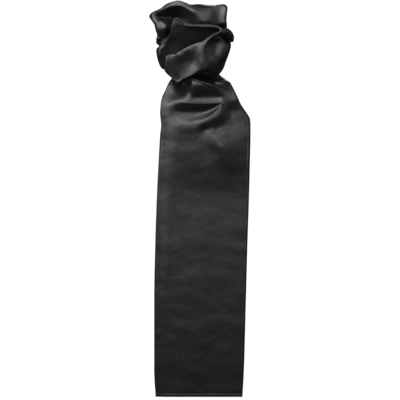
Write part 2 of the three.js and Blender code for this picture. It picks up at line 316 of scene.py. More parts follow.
# %% [markdown]
# One layer of cloth.
# On the real knot each layer is a stretch of the strip with its edges rolled back out of sight.
# It starts as Blender's grid. A square grid drawn out to a free outline keeps four-sided faces all over,
# where a fan of triangles would pinch in the middle. The outer rows of the grid become the rolled edge.
# At the outer edges of the knot the cloth then runs straight back, which closes the knot's sides.
# The grid's flat map keeps the size of the cut cloth, in metres, so that the weave has its true scale.

# %% Edges
EDGES = {
    # how far the edge is rounded and how far it falls, the angle it turns through, its run straight back
    # on the back wrap, which faces the other way, a run goes forward
    "side": (15.0, 24.0, 95.0, 0.0),
    "soft": (8.0, 9.0, 115.0, 0.0),
    "crest": (5.0, 5.0, 130.0, 0.0),
    "fold": (2.4, 2.6, 150.0, 0.0),
    "tuck": (3.0, 3.0, 60.0, 0.0),
    "thin": (0.8, 0.8, 90.0, 0.0),
    "thin back": (0.8, 0.8, 90.0, 24.0),
    "bulge": (9.0, 12.0, 90.0, 22.0),
    "bead": (8.0, 7.0, 125.0, 0.0),
    "soft back": (8.0, 9.0, 90.0, 16.0),
    "crest back": (5.0, 5.0, 90.0, 27.0),
    "fold back": (2.4, 2.6, 90.0, 18.0),
    "back": (16.0, 15.0, 90.0, 0.0),
    "forward": (16.0, 15.0, 90.0, 20.0),
}
CLOTH = 1.0
print("the layers have", len(EDGES), "kinds of edge")


# %% Grids and finish
def new_grid(name, across, down):
    """A plain grid to be shaped by moving its vertices, and where they are, from -1 to 1."""
    bpy.ops.object.select_all(action="DESELECT")
    bpy.ops.mesh.primitive_grid_add(x_subdivisions=across, y_subdivisions=down, size=2.0)
    piece = bpy.context.object
    piece.name = name
    corners = np.empty(3 * len(piece.data.vertices))
    piece.data.vertices.foreach_get("co", corners)
    return piece, corners.reshape(-1, 3)[:, :2]


def map_cloth(piece, width, length):
    """Give each corner of a face its place on the flat cut cloth, in metres."""
    mesh = piece.data
    index = np.empty(len(mesh.loops), dtype=int)
    mesh.loops.foreach_get("vertex_index", index)
    flat = np.stack([width[index], length[index]], axis=-1)
    mesh.uv_layers.active.data.foreach_set("uv", flat.ravel())


def finish_cloth(piece, x, depth, z, material, wall=CLOTH, offset=-1.0):
    """Put the vertices in their places, give the sheet its thickness and its finish."""
    mesh = piece.data
    places = np.stack([x, HANG_Y - depth, z], axis=-1) * MM
    mesh.vertices.foreach_set("co", places.ravel())
    mesh.update()
    bpy.ops.object.mode_set(mode="EDIT")
    bpy.ops.mesh.select_all(action="SELECT")
    bpy.ops.mesh.normals_make_consistent(inside=False)
    bpy.ops.object.mode_set(mode="OBJECT")
    thick = piece.modifiers.new("cloth", "SOLIDIFY")
    thick.thickness = wall * MM
    thick.offset = offset
    bpy.ops.object.modifier_apply(modifier=thick.name)
    bpy.ops.object.shade_smooth()
    mesh.materials.clear()
    mesh.materials.append(material)
    print(piece.name, "has", len(mesh.polygons), "faces")
    return piece


# %% Small creases
CREASE_COUNT = 40
CREASE_SHORTEST = 0.6
CREASE_LONGEST = 2.2
CREASE_TURN = 0.75
# the size and the height of the knot's creases, in millimetres
LAYER_CREASES = (26, 0.25)


def creases(x, z, seed, size, height):
    """Faint unevenness of handled cloth: many long, low waves, most of them lying across the strip."""
    dice = np.random.default_rng(seed)
    total = np.zeros(np.shape(x))
    for _ in range(CREASE_COUNT):
        length = size * dice.uniform(CREASE_SHORTEST, CREASE_LONGEST)
        heading = dice.normal(math.pi / 2, CREASE_TURN)
        phase = dice.uniform(0, 2 * math.pi)
        total += np.sin(2 * math.pi * (x * math.cos(heading) + z * math.sin(heading)) / length + phase)
    return height * total / math.sqrt(CREASE_COUNT)


# %% From a square to an outline
FACE_CELLS = 84
EDGE_CELLS = 12
FACE_SHARE = (FACE_CELLS // 2) / (FACE_CELLS // 2 + EDGE_CELLS)


def square_place(u, v):
    """How far out each grid point lies, from 0 to 1, and its place round the square, from 0 to 4."""
    out = np.maximum(np.abs(u), np.abs(v))
    safe = np.maximum(out, TINY)
    # the lower side goes from 0 to 1, the right one on to 2, the upper one to 3 and the left one to 4
    side = 3.5 - v / safe / 2
    side = np.where(v >= out - TINY, 2.5 - u / safe / 2, side)
    side = np.where(u >= out - TINY, 1.5 + v / safe / 2, side)
    side = np.where(v <= -out + TINY, 0.5 + u / safe / 2, side)
    return out, side


def rolled_edge(out, rounding, fall, turn, run):
    """The angle that each point has turned through, and how far it has then run straight back."""
    rolled = np.clip((out - FACE_SHARE) / (1 - FACE_SHARE), 0.0, 1.0)
    turn, run = np.radians(turn), np.maximum(run, 0.0)
    curved = turn * (rounding + fall) / 2
    on_curve = curved / (curved + run)
    angle = turn * np.minimum(rolled / on_curve, 1.0)
    straight = np.maximum(rolled - on_curve, 0.0) * (curved + run)
    return angle, straight


print("the flat face takes up", round(FACE_SHARE, 2), "of each layer's grid")


# %% A layer from its outline
# the plate is held to the outline at each row and halfway between them
RIM_STEP = 0.5
LAYER_EVENED = 4
# how far in the cloth leans for each millimetre that it runs straight back
DRAWN_IN = 0.08


def layer(name, centre, outline, lines, folds, material, cut, clear=CLEAR, facing=1, slope=TUCK_SLOPE):
    """A layer of the knot. Outline rows are x, z, depth and kind of edge. Lines hold x, z and depth."""
    cells = 2 * (FACE_CELLS // 2 + EDGE_CELLS)
    piece, spots = new_grid(name, cells, cells)
    map_cloth(piece, spots[:, 0] * cut[0] / 2, spots[:, 1] * cut[1] / 2)
    out, side = square_place(*spots.T)

    table = np.array([(x, z, depth, *EDGES[kind]) for x, z, depth, kind in outline])
    rim = smooth_row(table, np.arange(0, len(outline), RIM_STEP), closed=True)
    plate = stretched([[row] for row in rim[:, :3]] + lines)

    row = smooth_row(table, (side / 4 * len(outline)) % len(outline), closed=True)
    rounding, fall, turn, run = row[:, 3:].T
    angle, straight = rolled_edge(out, rounding, fall, turn, run)
    middle = np.array(centre)
    outward = row[:, :2] - middle
    outward = outward / np.linalg.norm(outward, axis=1, keepdims=True)
    start = row[:, :2] - outward * rounding[:, None]
    flat = middle + (start - middle) * np.minimum(out / FACE_SHARE, 1.0)[:, None]
    flat = flat + outward * (rounding * np.sin(angle) - DRAWN_IN * straight)[:, None]
    x, z = flat.T

    depth = plate(x, z) - facing * (fall * (1 - np.cos(angle)) + straight)
    depth = depth + facing * fold_height(x, z, folds) + creases(x, z, len(name), *LAYER_CREASES)
    depth = held_behind(x, z, depth, (cells + 1, cells + 1), clear, slope, LAYER_EVENED)
    cover(x, z, depth - CLOTH)
    return finish_cloth(piece, x, depth, z, material)


# %% [markdown]
# Black satin.
# Satin's face is all long floats of yarn, so it is smooth and even black thread has a broad, soft sheen.
# A plain black would look dead, so the sheen is a mid roughness with a clear specular. The weave could
# come from a picture of the cloth. Here the yarns and their slight unevenness are noise, as fine bump on
# the flat map, which needs no picture and follows the folds as real yarns do.

# %% Satin's patterns
# each one has its scale across and along the strip, per metre, and its detail
CLOUDS = ((22.0, 34.0), 2.0)
WEAR = ((60.0, 90.0), 2.0)
SLUBS = ((60.0, 900.0), 3.0)
FLOATS = ((3800.0, 700.0), 1.0)
SHADE = 0.3
WEAR_CHANGE = 0.05
FLOATS_SHARE = 0.35
YARN_HEIGHT = 0.0004
print("yarns as fine as", round(1000 / FLOATS[0][0], 2), "mm")


# %% Satin
def satin(name, colour, roughness, weave):
    """A satin finish. weave is the strength of its fine bump."""
    material = bpy.data.materials.new(name)
    material.use_nodes = True
    nodes, links = material.node_tree.nodes, material.node_tree.links
    shader = nodes["Principled BSDF"]
    shader.inputs["Specular IOR Level"].default_value = 0.5
    shader.inputs["Sheen Weight"].default_value = 0.02
    shader.inputs["Sheen Roughness"].default_value = 0.4

    flat = nodes.new("ShaderNodeUVMap")

    def pattern(scale, detail):
        """Noise on the flat cloth, with its own scale along and across the strip, per metre."""
        stretch = nodes.new("ShaderNodeMapping")
        stretch.inputs["Scale"].default_value = (*scale, 1.0)
        noise = nodes.new("ShaderNodeTexNoise")
        noise.inputs["Scale"].default_value = 1.0
        noise.inputs["Detail"].default_value = detail
        links.new(flat.outputs["UV"], stretch.inputs["Vector"])
        links.new(stretch.outputs["Vector"], noise.inputs["Vector"])
        return noise.outputs["Fac"]

    def between(low, high, share):
        """Two numbers or colours, mixed by a share."""
        mix = nodes.new("ShaderNodeMix")
        mix.data_type = "RGBA"
        mix.inputs["A"].default_value = low
        mix.inputs["B"].default_value = high
        links.new(share, mix.inputs["Factor"])
        return mix.outputs["Result"]

    clouds = pattern(*CLOUDS)
    dark = (*[(1 - SHADE) * c for c in colour], 1.0)
    light = (*[(1 + SHADE) * c for c in colour], 1.0)
    links.new(between(dark, light, clouds), shader.inputs["Base Color"])
    worn = pattern(*WEAR)
    rough_low = (*[roughness - WEAR_CHANGE] * 3, 1.0)
    rough_high = (*[roughness + WEAR_CHANGE] * 3, 1.0)
    links.new(between(rough_low, rough_high, worn), shader.inputs["Roughness"])

    slubs = pattern(*SLUBS)
    floats = pattern(*FLOATS)
    yarns = nodes.new("ShaderNodeMath")
    yarns.operation = "MULTIPLY_ADD"
    yarns.inputs[1].default_value = FLOATS_SHARE
    links.new(floats, yarns.inputs[0])
    links.new(slubs, yarns.inputs[2])
    bump = nodes.new("ShaderNodeBump")
    bump.inputs["Strength"].default_value = weave
    bump.inputs["Distance"].default_value = YARN_HEIGHT
    links.new(yarns.outputs["Value"], bump.inputs["Height"])
    links.new(bump.outputs["Normal"], shader.inputs["Normal"])
    return material


face_satin = satin("black_satin", (0.0045, 0.0045, 0.005), 0.43, 0.25)
hem_satin = satin("hem_satin", (0.006, 0.006, 0.0065), 0.46, 0.35)
print("finishes:", face_satin.name, "and", hem_satin.name)

# %% [markdown]
# The rolled fold at the right.
# On the knot it is a soft tube of cloth at the wrap's right side. A bent cylinder with a bevelled path
# could stand for it. An arch along a curved crest, with a radius of its own at each point, thins out at
# both ends as the fold does. It lies over the wrap's edge, so it is made first.

# %% Side roll
SIDE_ROLL = [
    # x, z, depth, radius
    (33, 5, 41, 0.8), (38, 9, 43, 3.0), (44, 13, 42, 6.0), (50, 14, 39, 8.0), (56, 10, 34, 8.8),
    (61, 3, 27, 7.4), (62, -6, 20, 4.0),
]
# how far round an arch goes, the step that its heading is measured over, and millimetres of cloth a row
ROLL_ARCH = math.radians(220)
HEADING_STEP = 0.02
ROLL_MAP = 10


def roll(name, crest, material, across=28, along=64, wall=CLOTH, facing=1):
    """An arch of cloth along its crest of x, z, depth and radius. facing is -1 for one at the back."""
    piece, spots = new_grid(name, across, along)
    place = (spots[:, 1] + 1) / 2 * (len(crest) - 1)
    angle = spots[:, 0] * ROLL_ARCH / 2
    row = smooth_row(crest, place, closed=False)
    ahead = smooth_row(crest, np.minimum(place + HEADING_STEP, len(crest) - 1), closed=False)
    back = smooth_row(crest, np.maximum(place - HEADING_STEP, 0), closed=False)
    heading = (ahead - back)[:, :2]
    heading = heading / np.linalg.norm(heading, axis=1, keepdims=True)
    radius = row[:, 3]
    map_cloth(piece, angle * radius * MM, place * ROLL_MAP * MM)
    x = row[:, 0] - heading[:, 1] * radius * np.sin(angle)
    z = row[:, 1] + heading[:, 0] * radius * np.sin(angle)
    depth = row[:, 2] - facing * radius * (1 - np.cos(angle))
    cover(x, z, depth - CLOTH)
    return finish_cloth(piece, x, depth, z, material, wall)


SIDE_ROLL_CUT = (0.022, 0.055)
side_roll = roll("side_roll_cloth", SIDE_ROLL, face_satin)

# %% [markdown]
# The wrap across the front.
# This is the turn of cloth that holds the knot. A ridge runs down it from a sharp point at the right,
# the short end's corner hangs at its lower left, and the cloth bulges to the right of the ridge, under
# the rolled fold. It could be draped over a ball by simulation, but then the ridge would fall where it
# likes. An outline with lines across it keeps the ridge and the valleys where they belong.

# %% Front wrap
FRONT_WRAP = [
    # x, z, depth, kind of edge
    (44, 20, 43, "bead"), (31, 13, 47, "bead"), (18, 6, 48.5, "bead"), (6, -3, 47, "crest"),
    (-7, -9, 45, "thin"), (-20, -14, 43, "thin"), (-32, -20, 41, "thin"), (-44, -27, 39, "thin"),
    (-56, -31, 37, "thin back"), (-66, -33, 37, "thin back"), (-70, -40, 36.5, "crest back"),
    (-71, -51, 34, "crest back"), (-71, -62, 31, "crest back"), (-65, -70, 29, "crest back"),
    (-57, -77, 28, "fold"), (-46, -88, 28, "fold"), (-34, -81, 31, "fold"), (-20, -75, 35, "fold"),
    (-1, -68, 40, "crest back"), (12, -65, 42, "crest back"), (24, -67, 36, "soft back"),
    (37, -70, 24, "soft back"), (47, -57, 18, "side"), (52, -44, 24, "bulge"),
    (58, -28, 27, "bulge"), (62, -12, 27, "bulge"), (58, 2, 24, "soft"), (50, 11, 28, "fold"),
]
FRONT_WRAP_LINES = [
    [(36, 11, 46), (27, 4, 48), (18, -3, 49.5), (11, -12, 50), (7, -23, 50), (5, -35, 49), (4, -46, 47)],
    [(-8, -14, 46), (-8, -24, 45), (-9, -34, 42), (-9, -44, 39.5), (-8, -54, 39), (-6, -62, 40)],
    [(-26, -20, 43.5), (-26, -28, 42), (-26, -36, 38), (-26, -46, 34), (-26, -56, 33), (-26, -68, 33)],
    [(-48, -32, 41), (-48, -42, 38), (-48, -54, 34.5), (-47, -66, 31.5), (-46, -80, 28.5)],
    [(-64, -42, 37), (-65, -56, 33.5)],
    [(15, -48, 46), (13, -58, 45)],
    [(18, -14, 44.5), (17, -24, 44), (19, -34, 43.5), (26, -44, 42.5)],
    [(30, -6, 37), (29, -16, 36.5), (30, -26, 36.5), (34, -38, 36.5)],
    [(44, -8, 34), (46, -18, 35), (46, -28, 35), (44, -38, 34)],
]
FRONT_WRAP_FOLDS = [
    # path, height, left and right width, sharpness, fade at the two ends
    fold([(-63, -68), (-56, -74), (-46, -85), (-36, -79.5)], 0.7, 1.5, 3.0, 0.3, (0.1, 0.1)),
]
FRONT_WRAP_CUT = (0.135, 0.12)
FRONT_WRAP_SLOPE = 3.5
front_wrap = layer(
    "front_wrap_cloth",
    (-5, -38),
    FRONT_WRAP,
    FRONT_WRAP_LINES,
    FRONT_WRAP_FOLDS,
    face_satin,
    FRONT_WRAP_CUT,
    slope=FRONT_WRAP_SLOPE,
)

# %% [markdown]
# The fold behind the wrap.
# A long flap whose upper edge is turned over. It sinks into a valley behind the wrap, and at its left it
# comes out as a soft crescent that turns down round the knot's side. The flap and the crescent could be
# two pieces, but they are one stretch of cloth, and as one layer there is no seam between them.

# %% Middle fold
MIDDLE_FOLD = [
    # x, z, depth, kind of edge
    (45, 18, 40, "crest back"), (38, 25, 44, "bead"), (28, 28, 45, "bead"), (14, 29, 45, "bead"),
    (0, 29, 43.5, "bead"), (-16, 30, 41, "bead"), (-30, 34, 38, "crest"), (-40, 39, 35, "fold"),
    (-46, 41.5, 34, "thin"), (-51, 39.5, 33, "thin"), (-54.5, 33, 32, "thin"),
    (-58, 23, 29.5, "thin"), (-60, 10, 25, "thin"), (-67, -1, 19, "thin"), (-77, -10, 12, "fold"),
    (-87, -18, 6, "fold"), (-87, -29, 3, "fold back"), (-85, -39, 2, "soft back"),
    (-81, -50, 0, "soft back"), (-74, -58, 0, "soft back"), (-60, -55, -4, "tuck"),
    (-40, -42, 0, "tuck"), (-10, -24, 6, "tuck"), (22, -4, 14, "tuck"),
]
MIDDLE_FOLD_LINES = [
    [(34, 15, 33), (18, 14, 32), (0, 14, 31.5), (-18, 15, 31), (-34, 17, 30)],
    [(28, 7, 26), (10, 0, 22), (-8, -8, 18), (-28, -17, 13), (-46, -26, 8), (-60, -31, 5)],
    [(-46, 34, 34), (-50, 24, 31), (-54, 12, 26)],
    [(-62, 1, 21), (-72, -11, 15), (-81, -21, 10), (-82, -33, 7)],
    [(-56, -4, 17), (-64, -17, 11.5), (-71, -29, 8), (-73, -43, 4)],
]
MIDDLE_FOLD_FOLDS = [
    # path, height, left and right width, sharpness, fade at the two ends
    fold([(-74, -10), (-81, -22), (-83, -42)], 1.5, 7, 7, 0.0, (0.4, 0.4)),
]
MIDDLE_FOLD_CUT = (0.13, 0.085)
middle_fold = layer(
    "middle_fold_cloth",
    (-30, 0),
    MIDDLE_FOLD,
    MIDDLE_FOLD_LINES,
    MIDDLE_FOLD_FOLDS,
    face_satin,
    MIDDLE_FOLD_CUT,
)

# %% [markdown]
# The loop over the top.
# The strip goes up and over as a wide loop. A raised band crosses it from the left, a hollow lies under
# the band, and two soft lobes stand at the left of the hollow and at its right. A bent tube would be
# even all along. As a layer with its own lines the loop can be full in one place and hollow in another.

# %% Crown loop
CROWN_LOOP = [
    # x, z, depth, kind of edge
    (53, 40, 26, "crest back"), (54, 52, 26, "crest back"), (55, 64, 23, "crest back"),
    (48, 71, 20, "soft back"), (30, 71, 21, "side"), (14, 71, 24, "side"),
    (-2, 71, 26, "soft back"), (-18, 69, 29, "fold back"), (-29, 73, 28, "fold back"),
    (-42, 77, 27, "fold back"), (-55, 75, 25, "fold back"), (-68, 70, 22.5, "fold back"),
    (-79, 62, 18, "fold back"), (-96, 55, 7, "fold back"), (-102, 48, 4, "soft back"),
    (-98, 40, 9, "soft back"), (-92, 31, 12, "soft back"), (-89, 20, 13, "soft back"),
    (-86, 9, 10, "soft back"), (-88, 0, 4, "soft"), (-86, -8, 0, "soft"), (-72, -12, 4, "tuck"),
    (-54, -4, 10, "tuck"), (-30, 6, 14, "tuck"), (0, 10, 18, "tuck"), (30, 10, 18, "tuck"),
    (54, 12, 12, "tuck"), (54, 26, 24, "crest back"),
]
CROWN_LOOP_LINES = [
    [(-72, 63, 21), (-60, 69, 25), (-47, 71.5, 27), (-33, 69.5, 29), (-22, 64.5, 31)],
    [
        (-88, 51, 11), (-76, 57, 20), (-61, 64, 26), (-48, 66, 28), (-34, 64, 30),
        (-24, 58, 32), (-15, 51, 34), (-7, 45, 35),
    ],
    [
        (-80, 47, 5), (-70, 51, 6), (-54, 55, 9), (-40, 54, 9), (-31, 49, 10),
        (-24, 42, 12), (-20, 32, 16),
    ],
    [(-80, 43, 6), (-66, 45, 0), (-50, 46, -4), (-38, 40, -3)],
    [(-78, 38, 12.5), (-77, 30, 15.5), (-77, 20, 15.5), (-78, 11, 11)],
    [(-68, 37, 11), (-67, 30, 16.5), (-67, 20, 16.5), (-69, 12, 11)],
    [(-56, 36, 2), (-55.5, 28, 3), (-57, 18, 3), (-68, 3, 4)],
    [(0, 58, 32), (6, 45, 36), (9, 32, 36)],
    [(23, 57, 28), (25, 45, 30.5), (26, 32, 30.5)],
    [(37, 58, 22.5), (37, 46, 24.5), (38, 34, 24.5)],
    [(49, 56, 24.5), (50, 45, 26.5), (50, 34, 27)],
]
CROWN_LOOP_FOLDS = [
    # path, height, left and right width, sharpness, fade at the two ends
    fold([(-89, 2), (-78, 1)], 2, 5, 5, 0.3),
]
CROWN_LOOP_CUT = (0.15, 0.12)
crown_loop = layer(
    "crown_loop_cloth",
    (-18, 36),
    CROWN_LOOP,
    CROWN_LOOP_LINES,
    CROWN_LOOP_FOLDS,
    face_satin,
    CROWN_LOOP_CUT,
)

# %% [markdown]
# The turned edge.
# The strip's long edge is rolled and shows as a bright line: a small eye at the left, then along the
# fold behind the wrap to a sharp turn, and back down the ridge. It could be bump in the satin, but a
# thin roll of the same cloth, sunk a little into the layers, catches the light from every side.

# %% Turned edge
TURNED_EDGE = [
    # x, z, depth, radius
    (-36, 29, 38, 1.4), (-28, 26.6, 40, 2.2), (-20, 25.6, 41.5, 2.5), (0, 24.4, 43.5, 2.5),
    (20, 24, 45, 2.5), (32, 22.8, 46.5, 2.7), (39, 20, 47.5, 2.9), (42.4, 16.2, 48.5, 2.9),
    (38, 11.6, 49.5, 2.7), (28, 6, 51.5, 2.5), (19, -0.6, 52.5, 2.2), (13.4, -8, 51.5, 1.7),
    (10.6, -15, 50, 1.0), (9.6, -20, 48.5, 0.5),
]
EYE = [
    # x, z, depth, radius
    (-33, 28.3, 40, 1.5), (-36, 32.6, 41, 1.7), (-41, 37.2, 41, 1.8), (-46.3, 39.8, 40, 1.8),
    (-49.6, 39, 39, 1.7), (-48.6, 35.8, 39, 1.7), (-44.5, 32.2, 40, 1.7), (-39, 29.3, 40, 1.6),
    (-33, 27.5, 40, 1.5),
]
THIN_ACROSS = 12
turned_edge = roll("turned_edge_cloth", TURNED_EDGE, face_satin, across=THIN_ACROSS, along=150)
eye = roll("eye_cloth", EYE, face_satin, across=THIN_ACROSS, along=90)

# %% [markdown]
# The hanging end.
# The strip leaves the knot gathered and opens to its full width. A simulation of a hung strip would
# make gathers too, but not these ones. So a table gives its two edges and how they round off, and the
# gathers are lines that a plate is stretched through. Below them the cloth hangs nearly flat.
# Its rows lie close together in the gathers and at the hem, and farther apart between them.

# %% Edges of the hanging end
PANEL = [
    # below the origin, left, right, depth, left rounding and fall, right rounding and fall
    (52, -46, 30, -8, 8, 6, 8, 6),
    (68, -52, 40, -6, 16, 8, 8, 8),
    (77, -58, 52, -5, 20, 9, 8, 8),
    (83, -62, 60, -2, 24, 10, 6, 6),
    (91, -66, 64, 0, 28, 11, 4, 4),
    (103, -71, 70, 0, 32, 12, 4, 3),
    (114, -76, 75, 0, 36, 13, 4, 3),
    (129, -79, 82, 0, 38, 13, 8, 6),
    (147, -80, 94, 0, 40, 13, 8, 5),
    (158, -79, 100, 0, 42, 13, 6, 3),
    (170, -78, 101, 0, 43, 13, 5, 2),
    (190, -80, 101, 0, 44, 13, 4, 1),
    (240, -83, 100, 0, 44, 12, 4, 1),
    (320, -87, 98, 0, 42, 13, 4, 1),
    (410, -90, 95, 0, 40, 14, 4, 1),
    (520, -92, 92, 0, 38, 12, 4, 1),
    (660, -92, 88, 0, 34, 8, 4, 1),
    (714, -89, 85, 0, 30, 6, 4, 1),
]
print("the hanging end is", PANEL[-1][0] - PANEL[0][0], "mm long")

# %% Gathers of the hanging end
GATHERS = [
    # lines of x, z and how far the cloth stands forward there
    [
        (-21, -78, 21), (-4, -83.5, 21), (12, -89.5, 20), (28, -95.5, 18),
        (42, -103, 16), (54, -111, 14), (68, -120, 14),
    ],
    [(-18, -74, 19), (-2, -79.5, 19), (14, -85.5, 18), (30, -91.5, 16), (43, -98, 13.5)],
    [(-14, -66, 0), (4, -71, -2), (20, -76, -3), (36, -82, -4)],
    [(-30, -54, 2), (-4, -54, 0), (22, -55, -2)],
    [(49, -88, -1), (55, -95, 5), (64, -107, 10)],
    [(-58, -86, -4), (-48, -89, -9), (-39, -91, -13)],
    [(-31, -86, -15), (-31, -92, -13), (-31, -98, -7)],
    [(-60, -108, 1), (-46, -109, 0), (-33, -108, 2)],
    [(-20, -94, 13), (-19, -104, 12)],
    [(-12, -118, 9.5), (8, -119, 9), (26, -118, 9), (37, -115, 9.5)],
    [
        (-48, -122, 9), (-34, -126, 12), (-16, -127.5, 12.5), (8, -127.5, 12.5),
        (28, -127.5, 12.5), (44, -127.5, 13),
    ],
    [
        (-52, -138, 8), (-40, -143, 5.5), (-20, -145, 4.5), (0, -145, 4.5),
        (14, -143, 5), (26, -137, 7), (36, -131, 10),
    ],
    [
        (49, -129, 12.5), (40, -137, 13.5), (31, -146, 14), (21, -154, 14.5),
        (9, -162, 15), (-4, -168, 14.5),
    ],
    [(-4, -168, 14.5), (-24, -169, 14), (-44, -168, 12), (-60, -166, 10)],
    [(-46, -184, 11), (-28, -188, 12), (-10, -190, 12)],
    [(-48, -214, 8.5), (-28, -216, 10), (-10, -218, 10.5)],
    [(12, -180, 8.5), (24, -194, 12.5), (36, -208, 15.5), (46, -218, 16.5), (60, -232, 13)],
    [(2, -192, 10.5), (14, -208, 11), (26, -224, 11)],
    [(38, -176, 8), (50, -190, 11), (64, -204, 12)],
    [(62, -142, 8), (78, -150, 9)],
    [(-56, -240, 6), (-30, -246, 8), (0, -250, 8), (30, -254, 8)],
    [(-72, -116, 7), (-72, -132, 9), (-72, -160, 9), (-74, -200, 6)],
    [(-76, -240, 4), (-78, -290, 3)],
    [(90, -180, 8), (92, -240, 7), (92, -290, 5)],
    [(-60, -310, 3), (0, -310, 4), (60, -310, 4)],
]
gathers = stretched(GATHERS)
# the gathers end this far down, and fade out over the last stretch
GATHERS_END = 330.0
GATHERS_FADE = 90.0
PANEL_FOLDS = [
    # path, height, left and right width, sharpness, fade at the two ends
    fold([(-23, -77), (-4, -83), (12, -89), (28, -95), (43, -102)], 1.5, 3.5, 3, 0.2, (0.02, 0.3)),
    fold(
        [(-44, -124), (-33, -126), (-14, -127), (8, -127), (28, -127), (45, -125)],
        1.2, 3, 3, 0.3, (0.2, 0.1),
    ),
    fold([(46, -127), (39, -136), (31, -144), (21, -152), (8, -162)], 1.5, 5, 5, 0.3, (0.05, 0.4)),
    fold([(-8, -300), (-8, -700)], 1.0, 40, 40, 0.0, (0.3, 0.2)),
    fold([(-90, -584), (-78, -590)], 0.7, 12),
]
print("the gathers are held to", len(GATHERS), "lines and have", len(PANEL_FOLDS), "folds")

# %% Surface of the hanging end
HEM_WIDTH = 6.5
HEM_RISE = 0.35
HEM_SLOPE = 2.0
SEAM_DIP = 0.3
SEAM_WIDTH = 1.4
PANEL_CREASES = [
    # seed, size, height
    (5, 46, 0.28),
    (6, 17, 0.09),
]


def monotone(where, known, values):
    """Table values between its rows, with no overshoot."""
    slopes = np.diff(values) / np.diff(known)
    bends = np.zeros(len(known))
    same = slopes[:-1] * slopes[1:] > 0
    bends[1:-1][same] = 2 / (1 / slopes[:-1][same] + 1 / slopes[1:][same])
    bends[0], bends[-1] = slopes[0], slopes[-1]
    index = np.clip(np.searchsorted(known, where) - 1, 0, len(known) - 2)
    width = np.diff(known)[index]
    part = (where - known[index]) / width
    leaving, arriving = width * bends[index], width * bends[index + 1]
    return cubic(part, values[index], leaving, values[index + 1], arriving)


def panel_row(down):
    """The table's columns after the first, at places down the hanging end."""
    table = np.array(PANEL, float)
    return [monotone(down, table[:, 0], table[:, k]) for k in range(1, table.shape[1])]


def rounded_off(into):
    """How far a rounded edge has fallen, from 0 where it starts to 1 at its outer side."""
    return np.clip(into, 0.0, 1.0) ** 2


def hem_relief(to_edge):
    """The turned hem stands a little proud, and its seam is a fine furrow."""
    proud = HEM_RISE * (1 - eased((to_edge - HEM_WIDTH) / HEM_SLOPE + 0.5))
    return proud - SEAM_DIP * np.exp(-(((to_edge - HEM_WIDTH) / SEAM_WIDTH) ** 2))


def panel_surface(down, across):
    """x, depth and z of the hanging end, before it is tucked in behind the knot."""
    left, right, depth, round_left, fall_left, round_right, fall_right = panel_row(down)
    x = left + (right - left) * across
    z = -down
    depth = depth - fall_left * rounded_off(1 - (x - left) / round_left)
    depth = depth - fall_right * rounded_off(1 - (right - x) / round_right)
    share = eased((GATHERS_END - down) / GATHERS_FADE)
    depth = depth + share * gathers(x, z) + fold_height(x, z, PANEL_FOLDS)
    depth = depth + hem_relief(np.minimum(x - left, right - x)) + hem_relief(PANEL[-1][0] - down)
    for seed, crease_size, height in PANEL_CREASES:
        depth = depth + creases(x, z, seed, crease_size, height)
    return x, depth, z


spot = panel_surface(np.array([400.0]), np.array([0.5]))
print("400 mm down its middle is at x", round(float(spot[0][0]), 1), "mm")


# %% Hanging end
PANEL_ACROSS = 120
PANEL_DOWN = 300
# the gaps between rows, in the gathers, below them and at the hem, and where and over what they change
TOP_STEP = 1.3
MIDDLE_STEP = 4.5
HEM_STEP = 0.9
GATHERED_TO = 190.0
GATHERED_CHANGE = 80.0
HEM_CHANGE = 40.0
MARKS = 2000
PANEL_EVENED = 2


def hanging_end(name, material):
    """The end, with rows close together in the gathers and columns close together at the edges."""
    piece, spots = new_grid(name, PANEL_ACROSS, PANEL_DOWN)
    across = (1 - np.cos((spots[:, 0] + 1) / 2 * math.pi)) / 2
    top, bottom = PANEL[0][0], PANEL[-1][0]
    marks = np.linspace(top, bottom, MARKS)
    steps = TOP_STEP + (MIDDLE_STEP - TOP_STEP) * eased((marks - GATHERED_TO) / GATHERED_CHANGE)
    steps = HEM_STEP + (steps - HEM_STEP) * eased((bottom - marks) / HEM_CHANGE)
    rows = np.concatenate([[0], np.cumsum(np.diff(marks) / steps[:-1])])
    down = np.interp((1 - spots[:, 1]) / 2, rows / rows[-1], marks)
    x, depth, z = panel_surface(down, across)
    map_cloth(piece, x * MM, z * MM)
    shape = (PANEL_DOWN + 1, PANEL_ACROSS + 1)
    depth = held_behind(x, z, depth, shape, CLEAR, TUCK_SLOPE, PANEL_EVENED)
    cover(x, z, depth - CLOTH)
    return finish_cloth(piece, x, depth, z, material)


HANGING_CUT = (0.188, 0.66)
hanging_panel = hanging_end("hanging_panel_cloth", face_satin)

# %% [markdown]
# The taut edge.
# Just under the wrap an edge of the gathered cloth is pulled tight and catches the light as a thin line.
# A fold in the sheet alone comes out too soft, because the rows of the grid cross it aslant. So there is
# also a thin roll, like the turned edge, that follows the surface of the hanging end.

# %% Taut edge
TAUT_EDGE = [
    # x, z, radius
    (-27, -71.5, 1.8), (-20, -75.8, 2.3), (-12, -79.5, 2.0), (0, -84, 1.9), (12, -88.5, 1.9),
    (24, -93.2, 1.8), (34, -97.8, 1.6), (42, -101.8, 1.2), (49, -105.6, 0.5),
]
TAUT_PROUD = 1.1


def on_panel(x, z):
    """The depth of the hanging end at places on it."""
    left, right = panel_row(-z)[:2]
    return panel_surface(-z, (x - left) / (right - left))[1]


taut_x, taut_z, taut_radius = np.array(TAUT_EDGE, float).T
taut_depth = on_panel(taut_x, taut_z) + TAUT_PROUD * taut_radius
taut_crest = np.stack([taut_x, taut_z, taut_depth, taut_radius], axis=-1)
taut_edge = roll("taut_edge_cloth", taut_crest, face_satin, across=THIN_ACROSS, along=120)

# %% [markdown]
# The hem.
# The strip's edges are turned to the back and sewn down. From the front only the fine furrow of the seam
# shows. At the back the turned band is a second thickness of cloth, held by a thread that goes to and fro
# over its edge. Turning the sheet's own edge over would need finer rows all over the sheet. So the band
# is a grid of its own, bent round the three edges, and the thread is a thin roll like the others.

